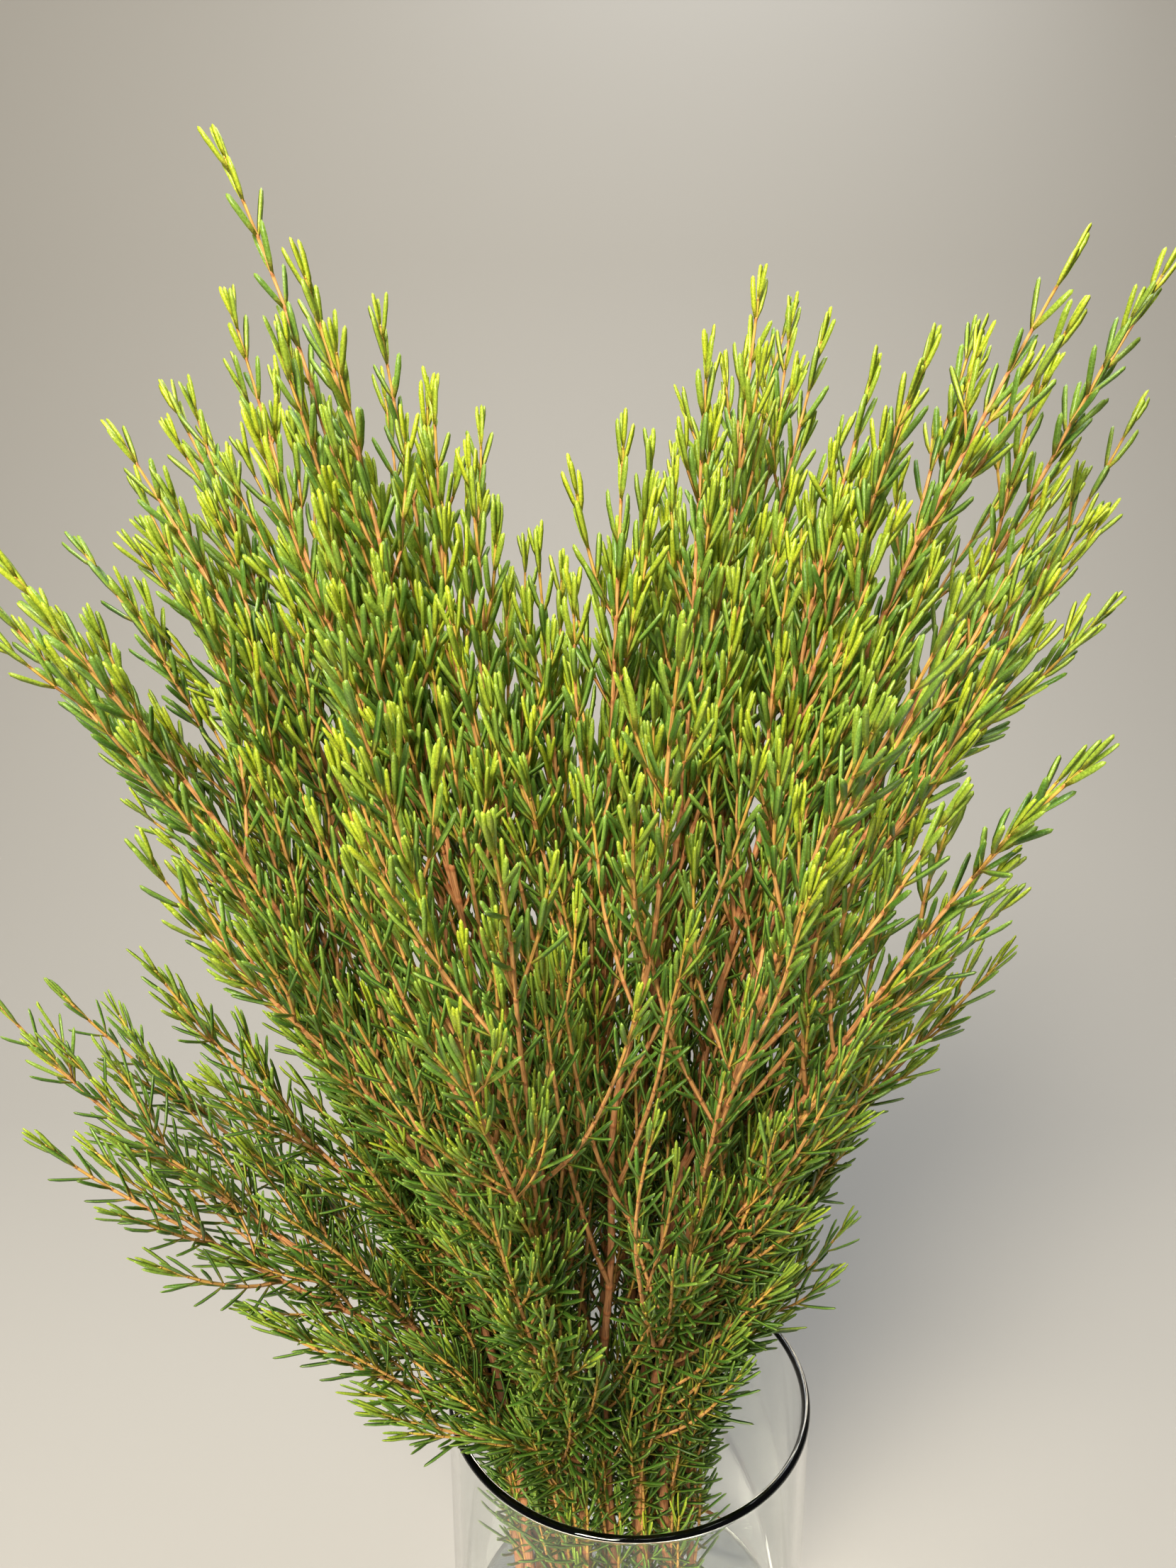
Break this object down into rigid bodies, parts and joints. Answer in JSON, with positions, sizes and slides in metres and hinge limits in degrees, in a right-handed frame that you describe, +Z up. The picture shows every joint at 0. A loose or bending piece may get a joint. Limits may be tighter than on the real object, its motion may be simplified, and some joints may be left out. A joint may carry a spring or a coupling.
{
  "type": "waxflower foliage bunch in a glass vase",
  "caption": "Bushy bunch of cut waxflower stems with fine needle leaves, standing in water in a plain clear glass cylinder vase.",
  "frame": {"origin": "centre of the vase's flat base, on the surface that it stands on", "axes": "+Z up along the vase's axis, -Y towards the front of the bunch, +X to its right seen from the front"},
  "size_m": [0.4149, 0.3012, 0.722],
  "materials": {
    "clear_glass": "clear soda-lime glass with a fire-polished rim",
    "water": "clear still water",
    "needle_leaf": "waxy satin green needle leaf, lime green on the young tips",
    "twig_bark": "thin orange-brown bark with darker rings at the leaf joints"
  },
  "bodies": {
    "root": {"vase": "clear_glass", "water": "water", "leafy_stem_01": "needle_leaf", "leafy_stem_02": "needle_leaf", "leafy_stem_03": "needle_leaf", "leafy_stem_04": "needle_leaf", "leafy_stem_05": "needle_leaf", "leafy_stem_06": "needle_leaf", "leafy_stem_07": "needle_leaf", "leafy_stem_08": "needle_leaf", "leafy_stem_09": "needle_leaf", "leafy_stem_10": "needle_leaf", "leafy_stem_11": "needle_leaf", "leafy_stem_12": "needle_leaf", "leafy_stem_13": "needle_leaf", "leafy_stem_14": "needle_leaf", "leafy_stem_15": "needle_leaf", "leafy_stem_16": "needle_leaf", "leafy_stem_17": "needle_leaf", "leafy_stem_18": "needle_leaf", "leafy_stem_19": "needle_leaf", "leafy_stem_20": "needle_leaf", "leafy_stem_21": "needle_leaf", "leafy_stem_22": "needle_leaf", "leafy_stem_23": "needle_leaf", "leafy_stem_24": "needle_leaf", "leafy_stem_25": "needle_leaf", "leafy_stem_26": "needle_leaf"}
  },
  "joints": []
}
